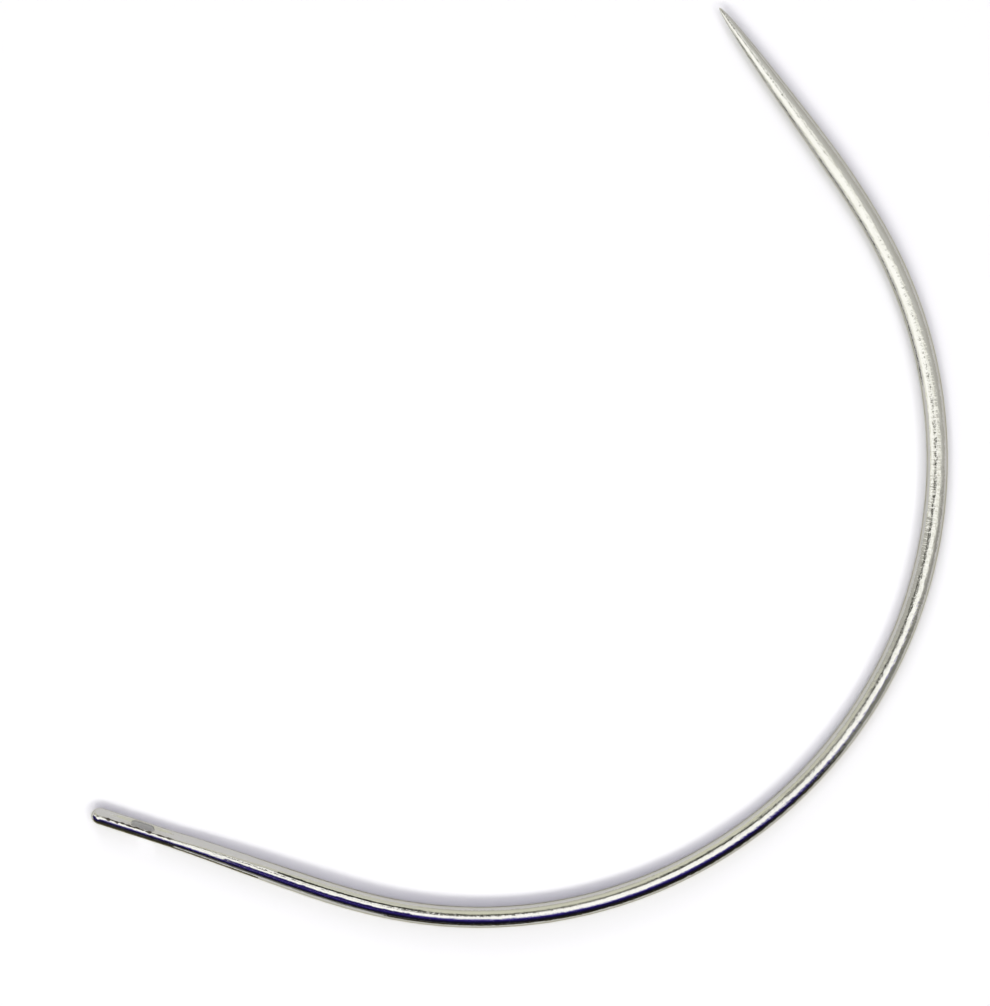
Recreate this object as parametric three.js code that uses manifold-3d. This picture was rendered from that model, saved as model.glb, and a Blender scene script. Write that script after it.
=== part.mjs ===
// Curved weaving needle, one length of nickel-plated steel wire.
// Lengths are in millimetres. The needle lies flat with its bow in the XY plane and +Z up.
// The straight line from eye to point runs along +X, and the bow bulges towards -Y.

import * as THREE from "three";
import { mergeVertices } from "three/addons/utils/BufferGeometryUtils.js";
import Module from "manifold-3d";

// Wire
const wireDiameter = 1.15;

// Stretches along the middle of the wire, from the eye end to the point
const eyeLegLength = 10.6;
const eyeEasingLength = 6.4;
const bowLength = 55.7;
const pointEasingLength = 10.1;
const pointLegLength = 7.2;

// Bow, measured to the middle of the wire
const bowRadius = 25.2;

// Ground point, whose outline is a superellipse in these two exponents
const pointLength = 10.7;
const pointRoundness = 2.1;
const pointSlimness = 1.2;

// Stamped head: a slimmed oval with a flat pressed on each side.
// The inner flat faces upwards by the head's turn, and the whole head leans outwards a little.
const buttLength = 0.5;
const headLength = 6;
const shoulderLength = 9;
const shoulderFullness = 1.8;
const headHeight = 0.94;
const headOvalWidth = 0.88;
const headThickness = 0.62;
const headTurnDegrees = 37.5;
const headLeanDegrees = 1.25;
const headLeanLength = 2;

// Eye, a slot with round ends between two cheeks
const eyeEndWall = 2.25;
const eyeLength = 1.3;
const cheekThickness = 0.23;

// Gutters, the grooves that lead the thread into both mouths of the eye
const gutterRunOut = 1.35;
const gutterDepth = 0.12;
const gutterLip = 0.04;

// Fineness of the faceted surface
const sectionSides = 24;
const ringSpacing = 1.5;
const buttRings = 6;
const shoulderRings = 9;
const pointRings = 18;
const eyeEndSegments = 10;
const gutterSegments = 28;
const walkStep = 0.02;

const wireLength = eyeLegLength + eyeEasingLength + bowLength + pointEasingLength + pointLegLength;
const wireRadius = wireDiameter / 2;
const cornerRadius = wireRadius / Math.cos(Math.PI / sectionSides);
const eyeWidth = headHeight - 2 * cheekThickness;
const eyeMiddle = eyeEndWall + eyeLength / 2;
const headTurn = THREE.MathUtils.degToRad(headTurnDegrees);
const headLean = THREE.MathUtils.degToRad(headLeanDegrees);

const nickelPlate = new THREE.MeshStandardMaterial({
  name: "nickel_plate",
  color: 0xc6c7c5,
  metalness: 1,
  roughness: 0.2,
});

// Curvature of the middle line: none on the legs, full on the bow, and a steady rise and fall between.
// Where the head ends, a short stretch bends the other way.
function curvatureAt(along) {
  const rise = (along - eyeLegLength) / eyeEasingLength;
  const fall = (wireLength - pointLegLength - along) / pointEasingLength;
  const bow = THREE.MathUtils.clamp(Math.min(rise, fall), 0, 1) / bowRadius;
  const leans = Math.abs(along - headLength) < headLeanLength / 2;
  return leans ? bow - headLean / headLeanLength : bow;
}

// Places and headings along the middle line, found by walking it in short steps.
function walkMiddleLine() {
  const steps = Math.round(wireLength / walkStep);
  const step = wireLength / steps;
  const places = [{ x: 0, y: 0, heading: 0 }];
  for (let i = 0; i < steps; i += 1) {
    const last = places[i];
    const turn = curvatureAt((i + 0.5) * step) * step;
    const middle = last.heading + turn / 2;
    places.push({
      x: last.x + Math.cos(middle) * step,
      y: last.y + Math.sin(middle) * step,
      heading: last.heading + turn,
    });
  }
  return places;
}

const middleLine = walkMiddleLine();

// A point given by its distance along the wire and its offset inwards and upwards from the middle line.
function bendPoint(along, inwards, upwards) {
  const exact = (along / wireLength) * (middleLine.length - 1);
  const index = THREE.MathUtils.clamp(Math.floor(exact), 0, middleLine.length - 2);
  const share = exact - index;
  const from = middleLine[index];
  const to = middleLine[index + 1];
  const heading = THREE.MathUtils.lerp(from.heading, to.heading, share);
  return new THREE.Vector3(
    THREE.MathUtils.lerp(from.x, to.x, share) - Math.sin(heading) * inwards,
    THREE.MathUtils.lerp(from.y, to.y, share) + Math.cos(heading) * inwards,
    upwards,
  );
}

// Outline of the straight blank: round butt, plain shank, ground point.
function blankOutline() {
  const outline = [];
  for (let i = 0; i < buttRings; i += 1) {
    const angle = (i / buttRings) * (Math.PI / 2);
    outline.push(new THREE.Vector2(wireRadius * Math.sin(angle), buttLength * (1 - Math.cos(angle))));
  }
  outline.push(new THREE.Vector2(wireRadius, buttLength));
  for (let i = 0; i <= shoulderRings; i += 1) {
    const share = i / shoulderRings;
    outline.push(new THREE.Vector2(wireRadius, headLength + shoulderLength * share));
  }
  const shankStart = headLength + shoulderLength;
  const shankEnd = wireLength - pointLength;
  const shankRings = Math.ceil((shankEnd - shankStart) / ringSpacing);
  for (let i = 1; i <= shankRings; i += 1) {
    const along = THREE.MathUtils.lerp(shankStart, shankEnd, i / shankRings);
    outline.push(new THREE.Vector2(wireRadius, along));
  }
  for (let i = 1; i <= pointRings; i += 1) {
    const left = (1 - i / pointRings) ** 2;
    const radius = wireRadius * (1 - (1 - left) ** pointSlimness) ** (1 / pointRoundness);
    outline.push(new THREE.Vector2(radius, wireLength - pointLength * left));
  }
  return outline;
}

// The head's press: slims the oval, flattens its two sides and leaves the wire beyond the shoulder round.
function pressHead(along, inwards, upwards) {
  const shoulderShare = THREE.MathUtils.clamp((along - headLength) / shoulderLength, 0, 1);
  const roundness = 1 - (1 - shoulderShare) ** shoulderFullness;
  const ovalScale = THREE.MathUtils.lerp(headOvalWidth / wireDiameter, 1, roundness);
  const heightScale = THREE.MathUtils.lerp(headHeight / wireDiameter, 1, roundness);
  const flat = THREE.MathUtils.lerp(headThickness / 2, cornerRadius, roundness);
  const across = inwards * Math.cos(headTurn) + upwards * Math.sin(headTurn);
  const high = upwards * Math.cos(headTurn) - inwards * Math.sin(headTurn);
  const pressed = THREE.MathUtils.clamp(across * ovalScale, -flat, flat);
  const stretched = high * heightScale;
  return {
    inwards: pressed * Math.cos(headTurn) - stretched * Math.sin(headTurn),
    upwards: pressed * Math.sin(headTurn) + stretched * Math.cos(headTurn),
  };
}

// The wire turned from its outline, then pressed and bent point by point.
// Its facets touch the wire's circle, one of them underneath, so the needle rests on flat facets.
function bentBlank() {
  const geometry = new THREE.LatheGeometry(blankOutline(), sectionSides, Math.PI / sectionSides);
  const facetReach = cornerRadius / wireRadius;
  const places = geometry.attributes.position;
  for (let i = 0; i < places.count; i += 1) {
    const along = places.getY(i);
    const inwards = -places.getX(i) * facetReach;
    const upwards = places.getZ(i) * facetReach;
    const pressed = pressHead(along, inwards, upwards);
    const bent = bendPoint(along, pressed.inwards, pressed.upwards);
    places.setXYZ(i, bent.x, bent.y, bent.z);
  }
  return geometry;
}

// Seats a cutter on the straight eye leg. Its X runs along the wire and its Z along the eye's axis.
function seatOnHead(geometry) {
  geometry.rotateX(headTurn - Math.PI / 2);
  geometry.translate(eyeMiddle, 0, 0);
  return geometry;
}

// The punch that makes the eye.
function eyePunch() {
  const half = eyeWidth / 2;
  const reach = eyeLength / 2 - half;
  const outline = new THREE.Shape();
  outline.absarc(reach, 0, half, -Math.PI / 2, Math.PI / 2, false);
  outline.absarc(-reach, 0, half, Math.PI / 2, (3 * Math.PI) / 2, false);
  outline.closePath();
  const depth = 2 * headOvalWidth;
  const punch = new THREE.ExtrudeGeometry(outline, {
    depth,
    bevelEnabled: false,
    curveSegments: eyeEndSegments,
  });
  punch.translate(0, 0, -depth / 2);
  return seatOnHead(punch);
}

// The long narrow die that presses one gutter; side is 1 on the inside of the bow and -1 on the outside.
function gutterDie(side) {
  const die = new THREE.SphereGeometry(1, gutterSegments, gutterSegments / 2);
  die.rotateX(Math.PI / 2);
  die.scale(eyeLength / 2 + gutterRunOut, eyeWidth / 2 + gutterLip, gutterDepth);
  die.translate(0, 0, (side * headThickness) / 2);
  return seatOnHead(die);
}

const wasm = await Module();
wasm.setup();

// A closed solid made from a geometry's merged vertices.
function solidFrom(geometry) {
  const plain = geometry.clone();
  plain.deleteAttribute("normal");
  plain.deleteAttribute("uv");
  const merged = mergeVertices(plain, 1e-5);
  const mesh = new wasm.Mesh({
    numProp: 3,
    vertProperties: new Float32Array(merged.attributes.position.array),
    triVerts: new Uint32Array(merged.index.array),
  });
  return new wasm.Manifold(mesh);
}

// A geometry holding a solid's vertices and triangles.
function geometryFrom(solid) {
  const mesh = solid.getMesh();
  const geometry = new THREE.BufferGeometry();
  geometry.setAttribute("position", new THREE.BufferAttribute(new Float32Array(mesh.vertProperties), 3));
  geometry.setIndex(new THREE.BufferAttribute(new Uint32Array(mesh.triVerts), 1));
  geometry.computeVertexNormals();
  return geometry;
}

// The needle with its eye and both gutters, still where the bending left it.
function needleGeometry() {
  let solid = solidFrom(bentBlank());
  solid = solid.subtract(solidFrom(gutterDie(1)));
  solid = solid.subtract(solidFrom(gutterDie(-1)));
  solid = solid.subtract(solidFrom(eyePunch()));
  return geometryFrom(solid);
}

// Turns the line from eye to point along +X, then stands the needle on Z = 0, centred on the origin.
function layFlat(geometry) {
  const start = middleLine[0];
  const end = middleLine[middleLine.length - 1];
  geometry.rotateZ(-Math.atan2(end.y - start.y, end.x - start.x));
  geometry.computeBoundingBox();
  const box = geometry.boundingBox;
  geometry.translate(-(box.min.x + box.max.x) / 2, -(box.min.y + box.max.y) / 2, -box.min.z);
  return geometry;
}

const needle = new THREE.Mesh(layFlat(needleGeometry()), nickelPlate);
needle.name = "needle";

const curvedWeavingNeedle = new THREE.Group();
curvedWeavingNeedle.add(needle);

export default curvedWeavingNeedle;
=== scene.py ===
"""Curved weaving needle: the finished surface of one bent steel wire, built around its packed frame.

Lengths are in metres. The needle lies flat with its bow in the XY plane and +Z up.
The line from the eye end to the point runs along +X, and the bow bulges towards -Y.
"""

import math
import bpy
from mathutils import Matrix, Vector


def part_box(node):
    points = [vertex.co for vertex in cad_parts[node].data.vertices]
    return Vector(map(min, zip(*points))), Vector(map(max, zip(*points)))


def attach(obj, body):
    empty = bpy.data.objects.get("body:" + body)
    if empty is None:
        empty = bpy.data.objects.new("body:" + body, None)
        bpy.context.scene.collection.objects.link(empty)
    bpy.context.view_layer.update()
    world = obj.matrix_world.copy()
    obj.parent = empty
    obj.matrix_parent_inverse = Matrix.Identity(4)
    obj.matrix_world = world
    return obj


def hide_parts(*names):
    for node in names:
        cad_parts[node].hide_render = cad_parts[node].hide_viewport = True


bl_info = {
    "name": "Curved Weaving Needle",
    "version": (1, 0, 0),
    "blender": (4, 5, 0),
    "location": "3D View > Sidebar > Needle",
    "description": "Builds a curved weaving needle, its nickel finish and the studio that it lies in",
    "category": "Add Mesh",
}

import bmesh
import bpy
from bpy.props import FloatProperty, FloatVectorProperty, PointerProperty
from mathutils import Matrix, Vector

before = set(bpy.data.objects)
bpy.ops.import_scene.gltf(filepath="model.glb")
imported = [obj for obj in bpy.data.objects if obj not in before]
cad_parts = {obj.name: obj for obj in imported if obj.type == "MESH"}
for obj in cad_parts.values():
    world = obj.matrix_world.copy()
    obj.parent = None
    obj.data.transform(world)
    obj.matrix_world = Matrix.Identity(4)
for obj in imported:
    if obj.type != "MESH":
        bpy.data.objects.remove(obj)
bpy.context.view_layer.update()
NODE_LOW, NODE_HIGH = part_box("needle")
LYING_HEIGHT = NODE_HIGH.z - NODE_LOW.z

# Fineness of the surface
SIDES = 96
WALK_STEP = 0.00002
BUTT_RINGS = 12
HEAD_SPACING = 0.0001
SHOULDER_SPACING = 0.00014
SHANK_SPACING = 0.0004
POINT_RINGS = 96
EYE_COLUMNS = 7
SLIDING_COLUMNS = 3
EYE_ARC_RINGS = 6
EYE_RING_SPACING = 0.00004
EYE_APPROACH = 0.0004
EYE_SMOOTHING = 60
FLAT_SMOOTHING = 3
SMOOTHING_FACTOR = 0.5
GUTTER_FALL = 1.5
WALL_CUTS = 6
RIM_SEGMENTS = 3
EYE_CORNER = math.radians(45)

# Patterns of the finish: features per millimetre along, across and up the needle, then their detail
MILLIMETRES = 1000
PEEL = ((3.0, 6.0, 6.0), 2.0)
DRAWING_LINES = ((0.25, 14.0, 14.0), 1.0)
CLOUDS = ((0.5, 2.2, 2.2), 4.0)
GRINDING_LINES = ((9.0, 1.5, 1.5), 1.0)
GRINDING_CHIPS = ((2.6, 6.0, 6.0), 4.0)
STAMPING_CHIPS = ((4.0, 7.0, 7.0), 4.0)
BURR_CHIPS = ((3.4, 3.0, 3.0), 3.0)

# How those patterns are used
CLOUD_RANGE = (0.42, 0.68)
CLEAN_CLOUDS = 0.35
GRINDING_LINE_SHARE = 0.35
BURR_RAGGEDNESS = 4.0
BURR_RANGE = (0.2, 0.5)

# Where the painted shade around the eye and the stamping marks on the flats fade: shares of the half
# thickness, and metres past a flat's edge
LIP_RANGE = (0.6, 0.7)
FLAT_FADE = (-0.00008, 0.00002)

# Stage
TENT_RADIUS = 0.6
SEAM_STEP = 4
LAMP_DISTANCE = 1.2
FLOOR_RADIUS = 2.5
FLOOR_SEGMENTS = 96
FLOOR_DROP = 0.00001
FLOOR_FADE = (0.06, 0.14)
CAMERA_CLIP = 0.01

# Panels of the light tent that the metal shows: first and last azimuth in the picture, in degrees,
# then its shades from the top down, each at its tilt from straight up
TENT_PANELS = (
    (-124, -104, ((0, "white"), (19, "white"), (25, "lavender"), (32, "violet"), (43, "navy"),
                  (58, "black"), (68, "black"), (78, "dim"), (90, "slate"))),
    (-104, -84, ((0, "white"), (10, "white"), (17, "lavender"), (26, "violet"), (40, "navy"),
                 (58, "black"), (74, "black"), (83, "dim"), (90, "slate"))),
    (-84, -50, ((0, "white"), (18, "white"), (23, "lavender"), (30, "violet"), (42, "navy"),
                (60, "black"), (74, "black"), (90, "olive"))),
    (-50, -40, ((0, "white"), (26, "white"), (32, "lavender"), (42, "violet"), (54, "navy"),
                (70, "black"), (90, "olive"))),
    (-40, -20, ((0, "white"), (32, "white"), (40, "lavender"), (49, "dim"), (90, "dim"))),
    (-20, -3, ((0, "white"), (28, "white"), (38, "pale"), (47, "grey"), (58, "slate"), (90, "slate"))),
    (-3, 10, ((0, "pale"), (32, "pale"), (44, "silver"), (60, "grey"), (90, "grey"))),
    (10, 70, ((0, "pale"), (9, "pale"), (19, "silver"), (40, "silver"), (62, "grey"), (90, "grey"))),
    (70, 84, ((0, "white"), (30, "white"), (36, "grey"), (44, "grey"), (51, "cream"),
              (66, "silver"), (78, "cream"), (90, "silver"))),
    (84, 97, ((0, "white"), (9, "pale"), (13, "soot"), (31, "soot"), (42, "cream"), (60, "cream"),
              (90, "grey"))),
    (97, 113, ((0, "white"), (15, "white"), (23, "grey"), (28, "dim"), (34, "dim"), (46, "cream"),
               (62, "cream"), (90, "grey"))),
    (113, 132, ((0, "white"), (18, "white"), (27, "dim"), (32, "soot"), (37, "soot"), (44, "dim"),
                (54, "cream"), (90, "cream"))),
    (132, 152, ((0, "white"), (12, "white"), (19, "grey"), (25, "dim"), (31, "slate"), (42, "grey"),
                (52, "cream"), (90, "grey"))),
    (152, 172, ((0, "white"), (5, "pale"), (9, "soot"), (33, "soot"), (41, "grey"), (90, "grey"))),
    (172, 184, ((0, "white"), (8, "pale"), (13, "grey"), (30, "grey"), (40, "pale"), (52, "white"),
                (68, "white"), (90, "cream"))),
    (184, 236, ((0, "white"), (64, "white"), (78, "pale"), (90, "cream"))),
)

# Flag that keeps the white panel out of the needle's rounded end
FLAG_AZIMUTH = 214
FLAG_DISTANCE = 0.004
FLAG_WIDTH = 0.006
FLAG_HEIGHT = 0.005

# Cards close to the wire: where they start and end along it, then for each of their two long edges
# how far inwards it is at the start and at the end, its height over the floor, and its shade
CARDS = (
    (-0.001, 0.0048, (-0.0014, -0.0014, 0.0, "olive"), (-0.0014, -0.0014, 0.0013, "black")),
    (0.0048, 0.0098, (-0.0014, -0.0014, 0.0, "soot"), (-0.0014, -0.0014, 0.0007, "olive")),
    (0.0170, 0.0450, (-0.0055, -0.0055, 0.0, "olive"), (-0.0055, -0.0055, 0.002, "black")),
    (0.0450, 0.0530, (-0.0055, -0.0055, 0.0, "slate"), (-0.0055, -0.0055, 0.0018, "dim")),
    (0.0660, 0.0885, (0.002, 0.002, 0.0, "soot"), (0.002, 0.002, 0.00045, "soot")),
    (0.0071, 0.0185, (-0.0048, -0.0052, 0.010, "black"), (-0.0008, -0.0013, 0.010, "violet")),
    (0.0104, 0.0192, (0.0028, 0.0028, 0.006, "soot"), (0.0064, 0.0050, 0.006, "soot")),
)
CARD_STEPS = 60

# Lamps for the floor: azimuth, tilt and spread in degrees, share of the floor's light, and its colour
FLOOR_LAMPS = (
    (-150, 50, 18, 0.065, "warm_light"),
    (-128, 40, 14, 0.095, "warm_light"),
    (-110, 39, 12, 0.115, "warm_light"),
    (-92, 37, 12, 0.10, "warm_light"),
    (-70, 37, 12, 0.095, "warm_light"),
    (-45, 37, 14, 0.09, "warm_light"),
    (-22, 33, 14, 0.055, "warm_light"),
    (-5, 31, 14, 0.045, "cool_light"),
    (28, 14, 14, 0.08, "cool_light"),
    (36, 38, 14, 0.05, "cool_light"),
    (68, 62, 16, 0.03, "cool_light"),
    (92, 42, 16, 0.055, "cool_light"),
    (104, 60, 16, 0.075, "cool_light"),
    (150, 32, 18, 0.06, "cool_light"),
    (175, 23, 16, 0.035, "cool_light"),
    (205, 28, 16, 0.04, "cool_light"),
)


def metres(name, description, default):
    """A length in metres that shows in the sidebar."""
    return FloatProperty(
        name=name, description=description, default=default, min=0.0, precision=5, unit="LENGTH"
    )


def tint(name, description, default):
    """A plain colour that shows in the sidebar."""
    return FloatVectorProperty(
        name=name, description=description, default=default, subtype="COLOR", size=3, min=0.0, max=1.0
    )


def number(name, description, default):
    """A plain number that shows in the sidebar."""
    return FloatProperty(name=name, description=description, default=default, min=0.0, precision=3)


def degrees(name, description, value):
    """An angle that shows in the sidebar, given here in degrees."""
    return FloatProperty(name=name, description=description, default=math.radians(value), subtype="ANGLE")


class NeedleWire(bpy.types.PropertyGroup):
    """Sizes of the wire, along its middle line from the eye end to the point."""

    diameter: metres("Wire diameter", "Thickness of the round shank", LYING_HEIGHT)
    eye_leg: metres("Eye leg", "Straight length at the eye end", 0.0106)
    eye_easing: metres("Eye easing", "Length over which the eye leg eases into the bow", 0.0064)
    bow: metres("Bow", "Length of the bow at its full curve", 0.0557)
    point_easing: metres("Point easing", "Length over which the bow eases into the point leg", 0.0101)
    point_leg: metres("Point leg", "Straight length at the point", 0.0072)
    bow_radius: metres("Bow radius", "Radius of the bow, to the middle of the wire", 0.0252)
    point_length: metres("Point length", "Length that is ground to a point", 0.0107)
    point_roundness: number("Point roundness", "Outer exponent of the point's outline", 2.1)
    point_slimness: number("Point slimness", "Inner exponent of the point's outline", 1.2)


class NeedleHead(bpy.types.PropertyGroup):
    """Sizes of the stamped head, its eye and its gutters."""

    butt_length: metres("Butt", "Length of the rounded end", 0.0005)
    length: metres("Head", "Length of the fully pressed head", 0.0046)
    shoulder: metres("Shoulder", "Length over which the head turns round again", 0.0104)
    fullness: number("Shoulder fullness", "How early the shoulder fills out", 1.8)
    height: metres("Head height", "Height of the pressed oval", 0.00094)
    oval_width: metres("Oval width", "Width of the oval before its sides are flat", 0.00088)
    thickness: metres("Head thickness", "Distance between the two flats", 0.00062)
    turn: degrees("Head turn", "How far the inner flat faces upwards", 37.5)
    lean: degrees("Head lean", "How far the head bends outwards from the leg", 1.25)
    lean_length: metres("Lean length", "Length over which the head bends", 0.002)
    lean_middle: metres("Lean middle", "Distance from the eye end where the head bends", 0.006)
    eye_end_wall: metres("Eye end wall", "Metal between the butt and the eye", 0.00225)
    eye_length: metres("Eye length", "Length of the slot", 0.0013)
    cheek: metres("Cheek", "Metal on each side of the slot", 0.00023)
    eye_rim: metres("Eye rim", "Rounding of the slot's edges", 0.000012)
    gutter_run_out: metres("Gutter run-out", "How far a gutter runs past the eye", 0.00135)
    gutter_depth: metres("Gutter depth", "Depth of a gutter in its middle", 0.00007)
    gutter_lip: metres("Gutter lip", "How far a gutter is wider than the eye", 0.00004)


class NickelFinish(bpy.types.PropertyGroup):
    """Colour and fine relief of the nickel plate."""

    colour: tint("Nickel", "Colour of the clean plate", (0.52, 0.515, 0.49))
    dull_colour: tint("Dull nickel", "Colour where the plate is dull", (0.50, 0.495, 0.465))
    edge_tint: tint("Edge tint", "Tint of the plate where it is seen edge on", (0.50, 0.48, 0.28))
    # Painted shade: a dark colour laid along the head's burrs and the eye's rims, standing in for the
    # shade and dark reflection there.
    painted_burr_shade: tint("Burr_shade_paint", "Colour along the eye's burrs", (0.07, 0.06, 0.05))
    bare_colour: tint("Bare steel", "Colour of the eye's punched wall", (0.7, 0.7, 0.68))
    bare_lustre: number("Bare lustre", "How metallic the eye's punched wall looks", 0.15)
    polish: number("Polished roughness", "Roughness of the polished shank", 0.09)
    dullness: number("Dull roughness", "Roughness of the ground and pressed parts", 0.13)
    sheared: number("Sheared roughness", "Roughness of the eye's punched wall", 0.5)
    peel_depth: metres("Peel depth", "Depth of the plate's fine waves", 0.000008)
    line_depth: metres("Line depth", "Depth of the lines left by drawing", 0.0000025)
    grinding_depth: metres("Grinding depth", "Depth of the marks across the point leg", 0.000020)
    stamping_depth: metres("Stamping depth", "Depth of the ragged marks on the head", 0.000010)
    grinding_start: metres("Grinding start", "Distance from the eye end where they begin", 0.020)
    grinding_full: metres("Grinding full", "Distance from the eye end where they are full", 0.050)
    burr_reach: metres("Burr reach", "Half width of the ragged line along the flat's edge", 0.00008)
    burr_end: metres("Burr end", "Distance from the eye end where the ragged line ends", 0.0043)
    burr_fade: metres("Burr fade", "Length over which the ragged line fades", 0.0008)
    rim_reach: metres("Rim reach", "Half width of the ragged line around the eye", 0.00004)
    rim_share: number("Rim darkness", "How dark the line around the eye is", 0.45)
    press_dullness: number("Press dullness", "How much duller the pressed head is", 0.4)


class NeedleStudio(bpy.types.PropertyGroup):
    """Levels of the studio's lights and the shades of its tent, as shares of the tent's level."""

    floor_colour: tint("Floor", "Colour of the paper floor", (0.98, 0.98, 0.98))
    floor_level: number("Floor level", "How brightly the lamps light the floor", 1.03)
    warm_light: tint("Warm light", "Colour of the lamps on the bow's outer side", (1.0, 1.0, 0.95))
    cool_light: tint("Cool light", "Colour of the other lamps", (0.90, 0.88, 1.0))
    tent_level: number("Tent level", "Level of the tent's white panels", 1.9)
    white: tint("White", "Shade of the tent's white panels", (1.0, 1.0, 0.98))
    pale: tint("Pale", "Shade of the tent's pale panels", (0.77, 0.77, 0.71))
    cream: tint("Cream", "Shade of the tent's cream panels", (0.58, 0.58, 0.48))
    silver: tint("Silver", "Shade of the tent's silver panels", (0.49, 0.49, 0.475))
    grey: tint("Grey", "Shade of the tent's grey panels", (0.40, 0.395, 0.37))
    slate: tint("Slate", "Shade of the tent's slate panels", (0.29, 0.285, 0.27))
    dim: tint("Dim", "Shade of the tent's dim panels", (0.18, 0.18, 0.16))
    soot: tint("Soot", "Shade of the tent's dark seams", (0.035, 0.035, 0.028))
    lavender: tint("Lavender", "Shade below a white panel", (0.36, 0.34, 0.58))
    violet: tint("Violet", "Shade of a dark panel near its top", (0.05, 0.035, 0.23))
    navy: tint("Navy", "Shade of a dark panel half way down", (0.012, 0.008, 0.085))
    black: tint("Black", "Shade of a dark panel near the floor", (0.006, 0.005, 0.012))
    olive: tint("Olive", "Shade of a dark panel at the floor", (0.09, 0.085, 0.035))


class NeedlePicture(bpy.types.PropertyGroup):
    """Where the two ends of the needle's middle line lie in the picture, in pixels from its top left."""

    width: number("Width", "Picture width in pixels", 990)
    height: number("Height", "Picture height in pixels", 1006)
    eye_end_across: number("Eye end across", "Pixels from the left edge", 91.64)
    eye_end_down: number("Eye end down", "Pixels from the top edge", 813.35)
    point_across: number("Point across", "Pixels from the left edge", 719.5)
    point_down: number("Point down", "Pixels from the top edge", 7.9)
    lens: number("Lens", "Focal length in millimetres", 135)


# Shape of the wire


def between(start, end, share):
    """The value that lies at a share of the way from start to end."""
    return start + (end - start) * share


def within(value, low, high):
    """The value, kept between low and high."""
    return max(low, min(high, value))


def wire_length(wire):
    """Length of the whole needle along its middle line."""
    return wire.eye_leg + wire.eye_easing + wire.bow + wire.point_easing + wire.point_leg


def eye_width(head):
    """Width of the slot between its two cheeks."""
    return head.height - 2 * head.cheek


def curvature_at(wire, head, along):
    """Curvature of the middle line: none on the legs, full on the bow, and backwards behind the head."""
    rise = (along - wire.eye_leg) / wire.eye_easing
    fall = (wire_length(wire) - wire.point_leg - along) / wire.point_easing
    bow = within(min(rise, fall), 0.0, 1.0) / wire.bow_radius
    leans = abs(along - head.lean_middle) < head.lean_length / 2
    return bow - head.lean / head.lean_length if leans else bow


class MiddleLine:
    """The middle of the bent wire, walked in short steps, with its two ends on a line along +X."""

    def __init__(self, wire, head):
        self.length = wire_length(wire)
        self.steps = round(self.length / WALK_STEP)
        self.height = wire.diameter / 2
        step = self.length / self.steps
        turns = [curvature_at(wire, head, (i + 0.5) * step) * step for i in range(self.steps)]
        chord = self.walk(turns, step, 0.0)[-1][0]
        self.places = self.walk(turns, step, -math.atan2(chord.y, chord.x))

    def walk(self, turns, step, heading):
        """Places and headings of a walk that starts at the origin."""
        place = Vector((0.0, 0.0))
        places = [(place.copy(), heading)]
        for turn in turns:
            middle = heading + turn / 2
            place += Vector((math.cos(middle), math.sin(middle))) * step
            heading += turn
            places.append((place.copy(), heading))
        return places

    def bend(self, along, inwards, upwards):
        """A point given by its distance along the wire and its offsets from the middle line."""
        exact = along / self.length * self.steps
        index = int(within(math.floor(exact), 0, self.steps - 1))
        share = exact - index
        start, start_heading = self.places[index]
        end, end_heading = self.places[index + 1]
        heading = between(start_heading, end_heading, share)
        place = start.lerp(end, share) + Vector((-math.sin(heading), math.cos(heading))) * inwards
        return Vector((place.x, place.y, self.height + upwards))


def blank_radius(wire, head, along):
    """Radius of the straight wire before the head is pressed: round butt, plain shank, ground point."""
    radius = wire.diameter / 2
    if along < head.butt_length:
        return radius * math.sqrt(1 - (1 - along / head.butt_length) ** 2)
    left = max(0.0, (wire_length(wire) - along) / wire.point_length)
    if left < 1:
        return radius * (1 - (1 - left) ** wire.point_slimness) ** (1 / wire.point_roundness)
    return radius


def press_at(wire, head, along):
    """Half width and half height of the pressed oval, and the reach of its flats."""
    share = within((along - head.length) / head.shoulder, 0.0, 1.0)
    roundness = 1 - (1 - share) ** head.fullness
    half_width = between(head.oval_width, wire.diameter, roundness) / 2
    half_height = between(head.height, wire.diameter, roundness) / 2
    return half_width, half_height, between(head.thickness, wire.diameter, roundness) / 2


def pressed_section(wire, head, along, angle):
    """A point of the straight needle's section. Y is across the flats and Z is the head's height."""
    half_width, half_height, flat = press_at(wire, head, along)
    slimming = blank_radius(wire, head, along) / (wire.diameter / 2)
    across = within(slimming * half_width * math.cos(angle), -flat, flat)
    return Vector((along, across, slimming * half_height * math.sin(angle)))


def flat_edge(wire, head, along):
    """A point on the upper edge of the inner flat."""
    half_width, half_height, flat = press_at(wire, head, along)
    high = half_height * math.sqrt(max(0.0, 1 - (flat / half_width) ** 2))
    return Vector((along, flat, high))


def eye_distance(head, place):
    """How far a point of the straight needle is outside the slot, seen along the eye's axis."""
    half = eye_width(head) / 2
    beyond = abs(place.x - head.eye_end_wall - head.eye_length / 2) - (head.eye_length / 2 - half)
    return math.hypot(max(beyond, 0.0), place.z) - half


def evenly(start, end, spacing):
    """Places after start and up to end, in equal steps no longer than spacing."""
    steps = max(1, math.ceil((end - start) / spacing))
    return [between(start, end, (i + 1) / steps) for i in range(steps)]


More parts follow.
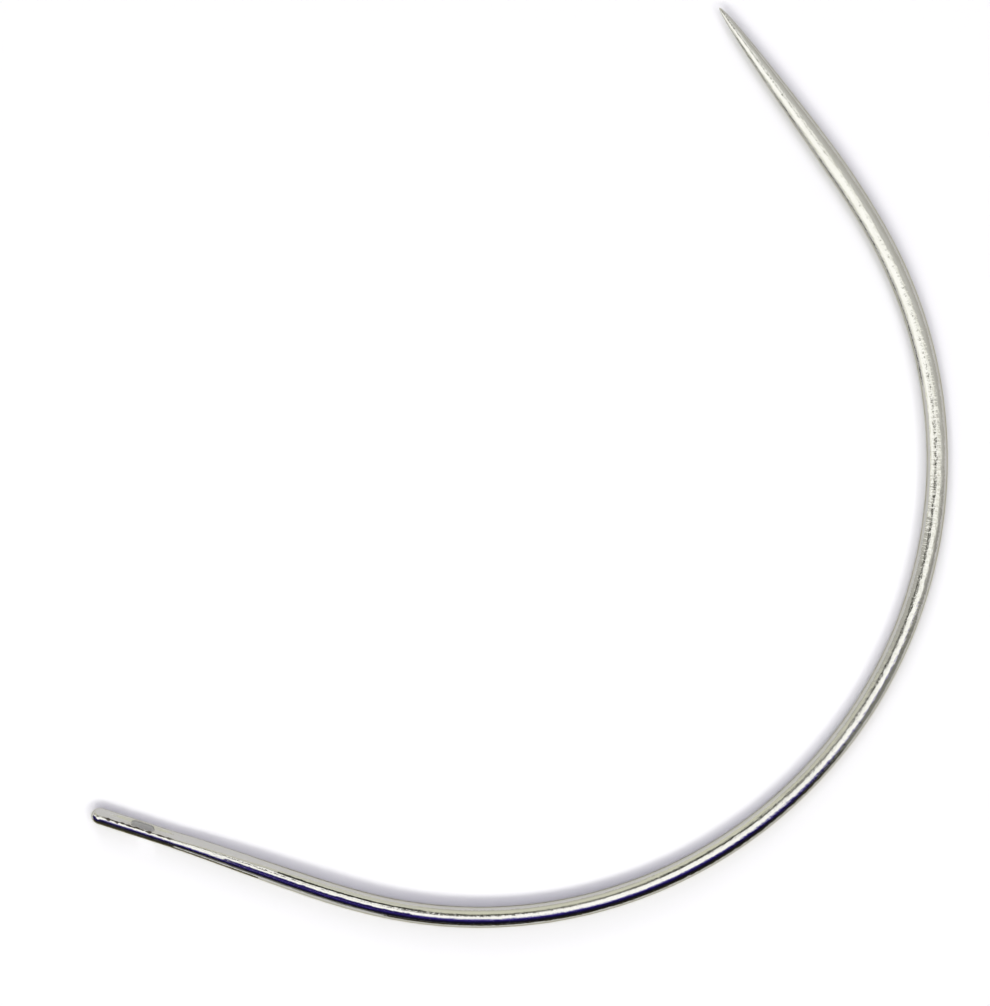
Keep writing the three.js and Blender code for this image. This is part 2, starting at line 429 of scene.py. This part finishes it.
def ring_places(wire, head):
    """Distances of the rings from the eye end, and which two of them meet the ends of the eye."""
    half = eye_width(head) / 2
    near_middle = head.eye_end_wall + half
    far_middle = head.eye_end_wall + head.eye_length - half
    corner = half * math.cos(EYE_CORNER)
    quarter = math.pi / 2
    turns = [between(EYE_CORNER, quarter, (i + 1) / EYE_ARC_RINGS) for i in range(EYE_ARC_RINGS - 1)]
    arc = [half * math.cos(turn) for turn in turns]
    turns = [quarter * (i + 1) / BUTT_RINGS for i in range(BUTT_RINGS)]
    places = [head.butt_length * (1 - math.cos(turn)) for turn in turns]
    places += evenly(places[-1], near_middle - corner - EYE_APPROACH, HEAD_SPACING)
    places += evenly(places[-1], near_middle - corner, EYE_RING_SPACING)
    near_row = len(places) - 1
    places += [near_middle - reach for reach in arc]
    places.append(near_middle)
    places += evenly(near_middle, far_middle, HEAD_SPACING)
    places += [far_middle + reach for reach in reversed(arc)]
    places.append(far_middle + corner)
    far_row = len(places) - 1
    places += evenly(places[-1], places[-1] + EYE_APPROACH, EYE_RING_SPACING)
    places += evenly(places[-1], head.length + head.shoulder, SHOULDER_SPACING)
    places += evenly(places[-1], wire_length(wire) - wire.point_length, SHANK_SPACING)
    for i in range(POINT_RINGS):
        left = (1 - (i + 1) / POINT_RINGS) ** 2
        places.append(wire_length(wire) - wire.point_length * left)
    return places, near_row, far_row


def loft_blank(bm, wire, head, places):
    """Draws the straight needle out of a small disc, ring by ring, and closes it in its point."""
    column = bm.verts.layers.int.new("column")
    made = bmesh.ops.create_circle(bm, cap_ends=True, cap_tris=True, segments=SIDES, radius=1.0)
    ring = [vert for vert in made["verts"] if vert.is_boundary]
    for vert in ring:
        vert[column] = round(math.atan2(vert.co.y, vert.co.x) / (2 * math.pi) * SIDES) % SIDES
    edges = [edge for edge in bm.edges if edge.is_boundary]
    rings = []
    for along in places:
        if rings:
            geometry = bmesh.ops.extrude_edge_only(bm, edges=edges)["geom"]
            ring = [item for item in geometry if isinstance(item, bmesh.types.BMVert)]
            fresh = set(ring)
            edges = [
                item
                for item in geometry
                if isinstance(item, bmesh.types.BMEdge) and fresh.issuperset(item.verts)
            ]
        ring.sort(key=lambda vert: vert[column])
        for vert in ring:
            vert.co = pressed_section(wire, head, along, 2 * math.pi * vert[column] / SIDES)
        rings.append(ring)
    bmesh.ops.pointmerge(bm, verts=rings.pop(), merge_co=(places[-1], 0.0, 0.0))
    return rings


def smooth(bm, verts, passes, along, across):
    """Smooths part of the straight needle in its height, and along or across it where asked."""
    for _ in range(passes):
        bmesh.ops.smooth_vert(
            bm,
            verts=verts,
            factor=SMOOTHING_FACTOR,
            use_axis_x=along,
            use_axis_y=across,
            use_axis_z=True,
        )


def soften_flats(bm, head, rings, places):
    """Rounds the edges that the press left along both flats."""
    end = head.length + head.shoulder
    pressed = [ring for ring, along in zip(rings, places) if head.butt_length < along < end]
    verts = [vert for ring in pressed for vert in ring]
    smooth(bm, verts, FLAT_SMOOTHING, along=False, across=True)


def open_eye_side(bm, head, rings, places, near_row, far_row, middle):
    """Opens one mouth of the eye as a slot with round ends, in the flat around the middle column."""
    half = eye_width(head) / 2
    near_middle = head.eye_end_wall + half
    far_middle = head.eye_end_wall + head.eye_length - half
    side = 1 if middle == 0 else -1
    steps = range(-EYE_COLUMNS, EYE_COLUMNS + 1)
    mouth = {rings[i][(middle + j) % SIDES] for i in range(near_row, far_row + 1) for j in steps}
    rim = set()
    for j in steps:
        turn = EYE_CORNER * j / EYE_COLUMNS
        for row, along in (
            (near_row, near_middle - half * math.cos(turn)),
            (far_row, far_middle + half * math.cos(turn)),
        ):
            vert = rings[row][(middle + j) % SIDES]
            vert.co.x = along
            vert.co.z = side * half * math.sin(turn)
            rim.add(vert)
    for i in range(near_row + 1, far_row):
        beyond = max(near_middle - places[i], places[i] - far_middle, 0.0)
        high = math.sqrt(half**2 - beyond**2)
        for j in (-EYE_COLUMNS, EYE_COLUMNS):
            vert = rings[i][(middle + j) % SIDES]
            vert.co.x = places[i]
            vert.co.z = side * math.copysign(high, j)
            rim.add(vert)
    faces = {face for vert in mouth for face in vert.link_faces if mouth.issuperset(face.verts)}
    bmesh.ops.delete(bm, geom=list(faces), context="FACES")
    reach = round(EYE_APPROACH / EYE_RING_SPACING) - 1
    around = [
        rings[i][(middle + j) % SIDES]
        for i in range(near_row - reach, far_row + reach + 1)
        for j in range(-EYE_COLUMNS - SLIDING_COLUMNS, EYE_COLUMNS + SLIDING_COLUMNS + 1)
    ]
    loose = [vert for vert in around if vert.is_valid and vert not in rim]
    smooth(bm, loose, EYE_SMOOTHING, along=True, across=False)


def press_gutters(bm, head):
    """Presses the long hollow on each flat that leads the thread into the eye."""
    eye_middle = head.eye_end_wall + head.eye_length / 2
    half_length = head.eye_length / 2 + head.gutter_run_out
    half_width = eye_width(head) / 2 + head.gutter_lip
    for vert in bm.verts:
        reach = ((vert.co.x - eye_middle) / half_length) ** 2 + (vert.co.z / half_width) ** 2
        if reach < 1:
            vert.co.y -= math.copysign(head.gutter_depth * (1 - reach) ** GUTTER_FALL, vert.co.y)


def wall_eye(bm, head):
    """Joins the two mouths of the eye with its wall and rounds both rims."""
    rims = [edge for edge in bm.edges if edge.is_boundary]
    wall = bmesh.ops.bridge_loops(bm, edges=rims)
    bmesh.ops.subdivide_edges(bm, edges=wall["edges"], cuts=WALL_CUTS, use_grid_fill=True)
    bmesh.ops.bevel(
        bm,
        geom=rims,
        offset=head.eye_rim,
        offset_type="OFFSET",
        affect="EDGES",
        segments=RIM_SEGMENTS,
        profile=0.5,
        clamp_overlap=True,
        material=-1,
    )


def note_straight_places(bm, wire, head):
    """Keeps what the finish needs of the straight needle: places, and distances from its edges."""
    straight = bm.verts.layers.float_vector.new("straight_place")
    off_flat = bm.verts.layers.float.new("flat_distance")
    off_edge = bm.verts.layers.float.new("edge_distance")
    off_eye = bm.verts.layers.float.new("eye_distance")
    for vert in bm.verts:
        edge = flat_edge(wire, head, vert.co.x)
        vert[straight] = vert.co.copy()
        vert[off_flat] = abs(vert.co.z) - edge.z
        vert[off_edge] = (vert.co - edge).length
        vert[off_eye] = eye_distance(head, vert.co)


def bend_needle(bm, head, line):
    """Turns the head's flats and bends the straight needle along the middle line."""
    cosine = math.cos(head.turn)
    sine = math.sin(head.turn)
    for vert in bm.verts:
        along, across, high = vert.co
        inwards = across * cosine - high * sine
        upwards = across * sine + high * cosine
        vert.co = line.bend(along, inwards, upwards)


def middle_shift(bm):
    """The move that centres the bent needle in the frame's needle and lays it on the same plane."""
    reaches = [[vert.co[axis] for vert in bm.verts] for axis in range(3)]
    middle = [(min(reach) + max(reach)) / 2 for reach in reaches]
    across = (NODE_LOW.x + NODE_HIGH.x) / 2 - middle[0]
    down = (NODE_LOW.y + NODE_HIGH.y) / 2 - middle[1]
    return Vector((across, down, NODE_LOW.z - min(reaches[2])))


def finished_object(bm, name):
    """A new object at the scene's origin that takes over a finished mesh."""
    mesh = bpy.data.meshes.new(name)
    bm.to_mesh(mesh)
    bm.free()
    item = bpy.data.objects.new(name, mesh)
    bpy.context.scene.collection.objects.link(item)
    return item


def build_needle(wire, head):
    """The whole needle as one closed mesh, lying where the frame's needle lies."""
    line = MiddleLine(wire, head)
    places, near_row, far_row = ring_places(wire, head)
    bm = bmesh.new()
    rings = loft_blank(bm, wire, head, places)
    soften_flats(bm, head, rings, places)
    for middle in (0, SIDES // 2):
        open_eye_side(bm, head, rings, places, near_row, far_row, middle)
    press_gutters(bm, head)
    wall_eye(bm, head)
    note_straight_places(bm, wire, head)
    bend_needle(bm, head, line)
    shift = middle_shift(bm)
    bmesh.ops.translate(bm, vec=shift, verts=bm.verts)
    bmesh.ops.recalc_face_normals(bm, faces=bm.faces)
    if any(not edge.is_manifold for edge in bm.edges):
        raise RuntimeError("the needle's surface is not closed")
    needle = finished_object(bm, "curved_needle")
    needle.data.shade_smooth()
    needle["eye_end"] = line.bend(0.0, 0.0, 0.0) + shift
    needle["point_end"] = line.bend(line.length, 0.0, 0.0) + shift
    return needle


# Finish


def add_node(tree, kind, **values):
    """A node with some of its own settings."""
    node = tree.nodes.new(kind)
    for name, value in values.items():
        setattr(node, name, value)
    return node


def put(tree, value, socket):
    """Links an output to a socket, or sets the socket to a plain value."""
    if isinstance(value, bpy.types.NodeSocket):
        tree.links.new(value, socket)
    else:
        socket.default_value = value


def maths(tree, operation, *values):
    """The output of a maths node."""
    node = add_node(tree, "ShaderNodeMath", operation=operation)
    for value, socket in zip(values, node.inputs):
        put(tree, value, socket)
    return node.outputs[0]


def inverse(tree, mask):
    """A mask turned round, so that it is 1 where it was 0."""
    return maths(tree, "SUBTRACT", 1.0, mask)


def attribute(tree, name):
    """The outputs of a node that reads one of the mesh's attributes."""
    return add_node(tree, "ShaderNodeAttribute", attribute_name=name).outputs


def coordinate(tree, place, axis):
    """One coordinate of a place."""
    split = add_node(tree, "ShaderNodeSeparateXYZ")
    put(tree, place, split.inputs[0])
    return split.outputs[axis]


def new_surface(name):
    """A material whose node tree is empty but for its output, and that output's surface socket."""
    material = bpy.data.materials.new(name)
    material.use_nodes = True
    tree = material.node_tree
    tree.nodes.clear()
    return material, tree, add_node(tree, "ShaderNodeOutputMaterial").inputs["Surface"]


def new_group(name, inputs, outputs):
    """An empty shader node group: Place is a vector, and its other sockets are plain values."""
    tree = bpy.data.node_groups.new(name, "ShaderNodeTree")
    for in_out, sockets in (("INPUT", inputs), ("OUTPUT", outputs)):
        for socket in sockets:
            kind = "NodeSocketVector" if socket == "Place" else "NodeSocketFloat"
            tree.interface.new_socket(name=socket, in_out=in_out, socket_type=kind)
    given = tree.nodes.new("NodeGroupInput").outputs
    wanted = tree.nodes.new("NodeGroupOutput").inputs
    return tree, given, wanted


def ramp_between(tree, value, start, end):
    """A value that rises smoothly from 0 at start to 1 at end."""
    ramp = add_node(tree, "ShaderNodeMapRange", interpolation_type="SMOOTHSTEP")
    put(tree, value, ramp.inputs["Value"])
    put(tree, start, ramp.inputs["From Min"])
    put(tree, end, ramp.inputs["From Max"])
    return ramp.outputs["Result"]


def stretched_noise(tree, place, per_millimetre, detail):
    """Noise whose features per millimetre differ along, across and up the straight needle."""
    scale = add_node(tree, "ShaderNodeVectorMath", operation="MULTIPLY")
    put(tree, place, scale.inputs[0])
    put(tree, [MILLIMETRES * features for features in per_millimetre], scale.inputs[1])
    noise = add_node(tree, "ShaderNodeTexNoise")
    put(tree, scale.outputs[0], noise.inputs["Vector"])
    put(tree, 1.0, noise.inputs["Scale"])
    put(tree, detail, noise.inputs["Detail"])
    return noise.outputs["Fac"]


def stretch_group():
    """Mask that rises from 0 to 1 between two distances from the eye end."""
    tree, given, wanted = new_group("Stretch of wire", ("Place", "From", "To"), ("Mask",))
    along = coordinate(tree, given["Place"], "X")
    put(tree, ramp_between(tree, along, given["From"], given["To"]), wanted["Mask"])
    return tree


def plate_group():
    """Fine waves of the plate, lines left by drawing the wire, and clouds of duller plate."""
    tree, given, wanted = new_group("Nickel plate", ("Place",), ("Peel", "Lines", "Clouds"))
    place = given["Place"]
    put(tree, stretched_noise(tree, place, *PEEL), wanted["Peel"])
    put(tree, stretched_noise(tree, place, *DRAWING_LINES), wanted["Lines"])
    cloudy = stretched_noise(tree, place, *CLOUDS)
    put(tree, ramp_between(tree, cloudy, *CLOUD_RANGE), wanted["Clouds"])
    return tree


def marks_group():
    """Ragged marks that grinding leaves across the wire and stamping leaves on the head."""
    tree, given, wanted = new_group("Tool marks", ("Place",), ("Grinding", "Stamping"))
    place = given["Place"]
    lines = stretched_noise(tree, place, *GRINDING_LINES)
    chips = stretched_noise(tree, place, *GRINDING_CHIPS)
    put(tree, maths(tree, "MULTIPLY_ADD", lines, GRINDING_LINE_SHARE, chips), wanted["Grinding"])
    put(tree, stretched_noise(tree, place, *STAMPING_CHIPS), wanted["Stamping"])
    return tree


def burr_group():
    """Mask of a ragged line along a stamped edge, where shade is painted."""
    tree, given, wanted = new_group("Burr line", ("Place", "Distance", "Reach"), ("Mask",))
    off_edge = maths(tree, "ABSOLUTE", given["Distance"])
    near = inverse(tree, maths(tree, "DIVIDE", off_edge, given["Reach"]))
    chips = stretched_noise(tree, given["Place"], *BURR_CHIPS)
    centred = maths(tree, "SUBTRACT", chips, 0.5)
    ragged = maths(tree, "MULTIPLY_ADD", centred, BURR_RAGGEDNESS, near)
    put(tree, ramp_between(tree, ragged, *BURR_RANGE), wanted["Mask"])
    return tree


def use_group(tree, group, **inputs):
    """A group placed in a tree, with its inputs linked or set."""
    node = add_node(tree, "ShaderNodeGroup", node_tree=group)
    for name, value in inputs.items():
        put(tree, value, node.inputs[name])
    return node.outputs


def mixed_colour(tree, factor, first, second):
    """A colour between two others."""
    mix = add_node(tree, "ShaderNodeMix", data_type="RGBA")
    put(tree, factor, mix.inputs["Factor"])
    put(tree, first, mix.inputs["A"])
    put(tree, second, mix.inputs["B"])
    return mix.outputs["Result"]


def mixed_value(tree, factor, first, second):
    """A value between two others."""
    mix = add_node(tree, "ShaderNodeMapRange")
    put(tree, factor, mix.inputs["Value"])
    put(tree, first, mix.inputs["To Min"])
    put(tree, second, mix.inputs["To Max"])
    return mix.outputs["Result"]


def mask_between(tree, stretch, place, start, end):
    """The mask of a stretch of wire, rising between two distances from the eye end."""
    return use_group(tree, stretch, Place=place, From=start, To=end)["Mask"]


def painted_shade_mask(tree, stretch, place, head, finish):
    """Where shade and dark reflection are painted along the burrs: on the inner flat's upper edge, and
    faintly on the eye's two rims.
    """
    burrs = burr_group()
    off_edge = attribute(tree, "edge_distance")["Fac"]
    off_eye = attribute(tree, "eye_distance")["Fac"]
    past_butt = mask_between(tree, stretch, place, head.butt_length, 2 * head.butt_length)
    burr_stop = finish.burr_end + finish.burr_fade
    past_burr = mask_between(tree, stretch, place, finish.burr_end, burr_stop)
    burr = use_group(tree, burrs, Place=place, Distance=off_edge, Reach=finish.burr_reach)["Mask"]
    burr = maths(tree, "MULTIPLY", burr, maths(tree, "SUBTRACT", past_butt, past_burr))
    off_middle = maths(tree, "ABSOLUTE", coordinate(tree, place, "Y"))
    lip = ramp_between(tree, off_middle, *(share * head.thickness / 2 for share in LIP_RANGE))
    rim = use_group(tree, burrs, Place=place, Distance=off_eye, Reach=finish.rim_reach)["Mask"]
    rim = maths(tree, "MULTIPLY", rim, maths(tree, "MULTIPLY", lip, finish.rim_share))
    return maths(tree, "MAXIMUM", burr, rim)


def nickel_material(head, finish):
    """Bright nickel plate with its relief, clouds and tool marks, painted shade along the head's burrs
    and the eye's rims, and the eye's bare wall.
    """
    material, tree, surface = new_surface("nickel_plate_finish")
    shader = add_node(tree, "ShaderNodeBsdfPrincipled")
    put(tree, shader.outputs[0], surface)
    place = attribute(tree, "straight_place")["Vector"]
    stretch = stretch_group()
    plate = use_group(tree, plate_group(), Place=place)
    marks = use_group(tree, marks_group(), Place=place)
    ground = mask_between(tree, stretch, place, finish.grinding_start, finish.grinding_full)
    half_shoulder = head.length + head.shoulder / 2
    stamped = inverse(tree, mask_between(tree, stretch, place, head.length, half_shoulder))
    # Mask of the painted shade along the burrs and the eye's rims.
    burr_shade = painted_shade_mask(tree, stretch, place, head, finish)
    off_eye = attribute(tree, "eye_distance")["Fac"]
    in_eye = inverse(tree, ramp_between(tree, off_eye, 0.0, head.eye_rim))
    off_flat = attribute(tree, "flat_distance")["Fac"]
    on_flats = inverse(tree, ramp_between(tree, off_flat, *FLAT_FADE))

    height = maths(tree, "MULTIPLY", plate["Lines"], finish.line_depth)
    height = maths(tree, "MULTIPLY_ADD", plate["Peel"], finish.peel_depth, height)
    grinding = maths(tree, "MULTIPLY", marks["Grinding"], ground)
    height = maths(tree, "MULTIPLY_ADD", grinding, finish.grinding_depth, height)
    stamping = maths(tree, "MULTIPLY", marks["Stamping"], maths(tree, "MULTIPLY", stamped, on_flats))
    height = maths(tree, "MULTIPLY_ADD", stamping, finish.stamping_depth, height)
    bump = add_node(tree, "ShaderNodeBump")
    put(tree, 1.0, bump.inputs["Strength"])
    put(tree, 1.0, bump.inputs["Distance"])
    put(tree, height, bump.inputs["Height"])
    put(tree, bump.outputs["Normal"], shader.inputs["Normal"])

    worked = maths(tree, "MAXIMUM", ground, maths(tree, "MULTIPLY", stamped, finish.press_dullness))
    cloudiness = maths(tree, "MULTIPLY_ADD", worked, 1.0 - CLEAN_CLOUDS, CLEAN_CLOUDS)
    dull = maths(tree, "MULTIPLY", plate["Clouds"], cloudiness)
    colour = mixed_colour(tree, dull, (*finish.colour, 1.0), (*finish.dull_colour, 1.0))
    colour = mixed_colour(tree, in_eye, colour, (*finish.bare_colour, 1.0))
    # Painted shade: the burr mask darkens the colour where shade and dark reflection fall along the burrs
    # and the eye's rims.
    colour = mixed_colour(tree, burr_shade, colour, (*finish.painted_burr_shade, 1.0))
    put(tree, colour, shader.inputs["Base Color"])
    dull_and_shaded = maths(tree, "MAXIMUM", dull, burr_shade)
    rough = mixed_value(tree, dull_and_shaded, finish.polish, finish.dullness)
    sheared = maths(tree, "MULTIPLY", in_eye, finish.sheared)
    put(tree, maths(tree, "MAXIMUM", rough, sheared), shader.inputs["Roughness"])
    put(tree, mixed_value(tree, in_eye, 1.0, finish.bare_lustre), shader.inputs["Metallic"])
    put(tree, (*finish.edge_tint, 1.0), shader.inputs["Specular Tint"])
    return material


class NEEDLE_OT_make_needle(bpy.types.Operator):
    """Build the needle's finished surface in place of the frame's faceted one"""

    bl_idname = "needle.make_needle"
    bl_label = "Make Needle"

    def execute(self, context):
        scene = context.scene
        needle = build_needle(scene.needle_wire, scene.needle_head)
        needle.data.materials.append(nickel_material(scene.needle_head, scene.needle_finish))
        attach(needle, "root")
        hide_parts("needle")
        return {"FINISHED"}


# Stage


class Picture:
    """How the picture lies over the needle: its axes, its scale and its middle, in the frame."""

    def __init__(self, settings, needle):
        eye_end = Vector(needle["eye_end"])
        point_end = Vector(needle["point_end"])
        across = settings.point_across - settings.eye_end_across
        rise = settings.eye_end_down - settings.point_down
        chord = point_end - eye_end
        self.roll = math.atan2(chord.y, chord.x) - math.atan2(rise, across)
        self.scale = chord.length / math.hypot(across, rise)
        self.right = Vector((math.cos(self.roll), math.sin(self.roll), 0.0))
        self.up = Vector((-math.sin(self.roll), math.cos(self.roll), 0.0))
        self.middle = (
            eye_end
            + self.right * self.scale * (settings.width / 2 - settings.eye_end_across)
            + self.up * self.scale * (settings.eye_end_down - settings.height / 2)
        )

    def direction(self, azimuth, tilt):
        """Direction at an azimuth in the picture, from its right, and at a tilt from straight up."""
        sideways = self.right * math.cos(azimuth) + self.up * math.sin(azimuth)
        return sideways * math.sin(tilt) + Vector((0.0, 0.0, math.cos(tilt)))


def add_camera(settings, picture):
    """A camera straight above the needle that frames it as the picture does."""
    data = bpy.data.cameras.new("picture_camera")
    data.lens = settings.lens
    data.clip_start = CAMERA_CLIP
    camera = bpy.data.objects.new("picture_camera", data)
    long_side = max(settings.width, settings.height) * picture.scale
    height = long_side * data.lens / data.sensor_width
    camera.location = picture.middle + Vector((0.0, 0.0, height))
    camera.rotation_euler = (0.0, 0.0, picture.roll)
    bpy.context.scene.collection.objects.link(camera)
    bpy.context.scene.camera = camera


def tent_material(studio):
    """A material that glows in the shade of each panel, but not onto the floor by way of the metal."""
    material, tree, surface = new_surface("tent_cloth")
    material.cycles.emission_sampling = "NONE"
    glow = add_node(tree, "ShaderNodeEmission")
    put(tree, glow.outputs[0], surface)
    put(tree, attribute(tree, "shade")["Color"], glow.inputs["Color"])
    depth = add_node(tree, "ShaderNodeLightPath").outputs["Diffuse Depth"]
    off_floor = maths(tree, "LESS_THAN", depth, 0.5)
    put(tree, maths(tree, "MULTIPLY", off_floor, studio.tent_level), glow.inputs["Strength"])
    return material


def shade_vert(bm, vert, colour):
    """Gives a vertex of the tent its shade."""
    vert[bm.verts.layers.float_color["shade"]] = (*colour, 1.0)


def turned_towards(place, towards):
    """The matrix of something flat at a place, turned to face along a direction."""
    return Matrix.Translation(place) @ towards.to_track_quat("Z", "Y").to_matrix().to_4x4()


def sew_panel(bm, picture, studio, first, last, shades):
    """Adds one panel of the tent, from the top down to the floor, with a row half way between shades."""
    seams = max(1, round((last - first) / SEAM_STEP))
    rows = [
        (between(upper[0], lower[0], share), upper[1], lower[1], share)
        for upper, lower in zip(shades, shades[1:])
        for share in (0.0, 0.5)
    ]
    floor_tilt, floor_shade = shades[-1]
    rows.append((floor_tilt, floor_shade, floor_shade, 0.0))
    grid = bmesh.ops.create_grid(bm, x_segments=seams, y_segments=len(rows) - 1, size=1.0)
    for vert in grid["verts"]:
        tilt, upper, lower, share = rows[round((vert.co.y + 1) / 2 * (len(rows) - 1))]
        azimuth = between(first, last, (vert.co.x + 1) / 2)
        upper_shade = Vector(getattr(studio, upper))
        shade_vert(bm, vert, upper_shade.lerp(Vector(getattr(studio, lower)), share))
        vert.co = picture.direction(math.radians(azimuth), math.radians(tilt)) * TENT_RADIUS


def hang_flag(bm, picture, studio, butt):
    """Adds a small dark flag beside the needle's rounded end."""
    towards = picture.direction(math.radians(FLAG_AZIMUTH), math.radians(90))
    middle = butt + towards * FLAG_DISTANCE
    middle.z = FLAG_HEIGHT / 2
    lie = turned_towards(middle, towards) @ Matrix.Diagonal((FLAG_WIDTH / 2, FLAG_HEIGHT / 2, 1.0, 1.0))
    grid = bmesh.ops.create_grid(bm, x_segments=1, y_segments=1, size=1.0, matrix=lie)
    for vert in grid["verts"]:
        shade_vert(bm, vert, studio.navy)


def set_card(bm, studio, line, shift, card):
    """Adds a card that follows the wire close by."""
    first, last, *long_edges = card
    grid = bmesh.ops.create_grid(bm, x_segments=CARD_STEPS, y_segments=1, size=1.0)
    for vert in grid["verts"]:
        share = (vert.co.x + 1) / 2
        inwards_first, inwards_last, height, shade = long_edges[vert.co.y > 0]
        shade_vert(bm, vert, getattr(studio, shade))
        inwards = between(inwards_first, inwards_last, share)
        vert.co = line.bend(between(first, last, share), inwards, height - line.height) + shift


def add_tent(picture, studio, line, butt):
    """The light tent around the needle, which only the metal shows."""
    bm = bmesh.new()
    bm.verts.layers.float_color.new("shade")
    for panel in TENT_PANELS:
        sew_panel(bm, picture, studio, *panel)
    hang_flag(bm, picture, studio, butt)
    for card in CARDS:
        set_card(bm, studio, line, butt - line.bend(0.0, 0.0, 0.0), card)
    tent = finished_object(bm, "light_tent")
    tent.data.materials.append(tent_material(studio))
    tent.visible_camera = False
    tent.visible_diffuse = False
    tent.visible_shadow = False


def add_floor_lamps(picture, studio):
    """The square lamps that light the floor and throw the needle's shadow, kept out of the metal."""
    for azimuth, tilt, spread, share, colour in FLOOR_LAMPS:
        towards = picture.direction(math.radians(azimuth), math.radians(tilt))
        data = bpy.data.lights.new("floor_lamp", "AREA")
        data.size = 2 * LAMP_DISTANCE * math.tan(math.radians(spread) / 2)
        data.color = getattr(studio, colour)
        data.energy = studio.floor_level * share * math.pi**2 * LAMP_DISTANCE**2 / towards.z
        lamp = bpy.data.objects.new("floor_lamp", data)
        lamp.matrix_world = turned_towards(towards * LAMP_DISTANCE, towards)
        bpy.context.scene.collection.objects.link(lamp)
        lamp.visible_camera = False
        lamp.visible_glossy = False


def seen_directly(tree):
    """1 for rays that show the background itself: from the camera, off metal or through glass."""
    path = add_node(tree, "ShaderNodeLightPath")
    shown = maths(tree, "MAXIMUM", path.outputs["Is Camera Ray"], path.outputs["Is Glossy Ray"])
    return maths(tree, "MAXIMUM", shown, path.outputs["Is Transmission Ray"])


def set_world():
    """A white surround that lights nothing itself."""
    world = bpy.data.worlds.new("white_surround")
    bpy.context.scene.world = world
    world.use_nodes = True
    tree = world.node_tree
    tree.nodes.clear()
    output = add_node(tree, "ShaderNodeOutputWorld")
    background = add_node(tree, "ShaderNodeBackground")
    put(tree, (1.0, 1.0, 1.0, 1.0), background.inputs["Color"])
    put(tree, seen_directly(tree), background.inputs["Strength"])
    put(tree, background.outputs[0], output.inputs["Surface"])


def floor_material(studio):
    """White paper that holds the needle's shadow, and fades to plain white away from it."""
    material, tree, surface = new_surface("white_paper")
    paper = add_node(tree, "ShaderNodeBsdfPrincipled")
    put(tree, (*studio.floor_colour, 1.0), paper.inputs["Base Color"])
    put(tree, 1.0, paper.inputs["Roughness"])
    put(tree, 0.0, paper.inputs["Specular IOR Level"])
    glow = add_node(tree, "ShaderNodeEmission")
    place = add_node(tree, "ShaderNodeTexCoord").outputs["Object"]
    distance = add_node(tree, "ShaderNodeVectorMath", operation="LENGTH")
    put(tree, place, distance.inputs[0])
    fade = ramp_between(tree, distance.outputs["Value"], *FLOOR_FADE)
    share = maths(tree, "MULTIPLY", fade, seen_directly(tree))
    mix = add_node(tree, "ShaderNodeMixShader")
    put(tree, share, mix.inputs[0])
    put(tree, paper.outputs[0], mix.inputs[1])
    put(tree, glow.outputs[0], mix.inputs[2])
    put(tree, mix.outputs[0], surface)
    return material


def add_floor(studio):
    """The round paper floor under the needle."""
    bm = bmesh.new()
    disc = bmesh.ops.create_circle(bm, cap_ends=True, segments=FLOOR_SEGMENTS, radius=FLOOR_RADIUS)
    bmesh.ops.translate(bm, vec=(0.0, 0.0, -FLOOR_DROP), verts=disc["verts"])
    floor = finished_object(bm, "paper_floor")
    floor.data.materials.append(floor_material(studio))


class NEEDLE_OT_make_stage(bpy.types.Operator):
    """Build the floor, the lamps, the light tent with its cards and the camera around the needle"""

    bl_idname = "needle.make_stage"
    bl_label = "Make Stage"

    def execute(self, context):
        scene = context.scene
        studio = scene.needle_studio
        needle = bpy.data.objects["curved_needle"]
        picture = Picture(scene.needle_picture, needle)
        add_camera(scene.needle_picture, picture)
        add_floor(studio)
        line = MiddleLine(scene.needle_wire, scene.needle_head)
        add_tent(picture, studio, line, Vector(needle["eye_end"]))
        add_floor_lamps(picture, studio)
        set_world()
        scene.view_settings.view_transform = "Standard"
        return {"FINISHED"}


class NEEDLE_PT_sidebar(bpy.types.Panel):
    """The needle's sizes, finish and studio"""

    bl_label = "Curved Weaving Needle"
    bl_idname = "NEEDLE_PT_sidebar"
    bl_space_type = "VIEW_3D"
    bl_region_type = "UI"
    bl_category = "Needle"

    def draw(self, context):
        layout = self.layout
        layout.operator(NEEDLE_OT_make_needle.bl_idname)
        layout.operator(NEEDLE_OT_make_stage.bl_idname)
        for title, settings in SETTINGS.items():
            box = layout.box()
            box.label(text=settings.__doc__.split(",")[0].rstrip("."))
            group = getattr(context.scene, title)
            for name in settings.__annotations__:
                box.prop(group, name)


SETTINGS = {
    "needle_wire": NeedleWire,
    "needle_head": NeedleHead,
    "needle_finish": NickelFinish,
    "needle_studio": NeedleStudio,
    "needle_picture": NeedlePicture,
}
CLASSES = (*SETTINGS.values(), NEEDLE_OT_make_needle, NEEDLE_OT_make_stage, NEEDLE_PT_sidebar)


def register():
    """Adds the classes and gives each scene its settings."""
    for item in CLASSES:
        bpy.utils.register_class(item)
    for name, settings in SETTINGS.items():
        setattr(bpy.types.Scene, name, PointerProperty(type=settings))


def unregister():
    """Takes the settings and the classes away again."""
    for name in SETTINGS:
        delattr(bpy.types.Scene, name)
    for item in reversed(CLASSES):
        bpy.utils.unregister_class(item)


def main():
    """Builds everything."""
    register()
    bpy.ops.needle.make_needle()
    bpy.ops.needle.make_stage()


if __name__ == "__main__":
    main()
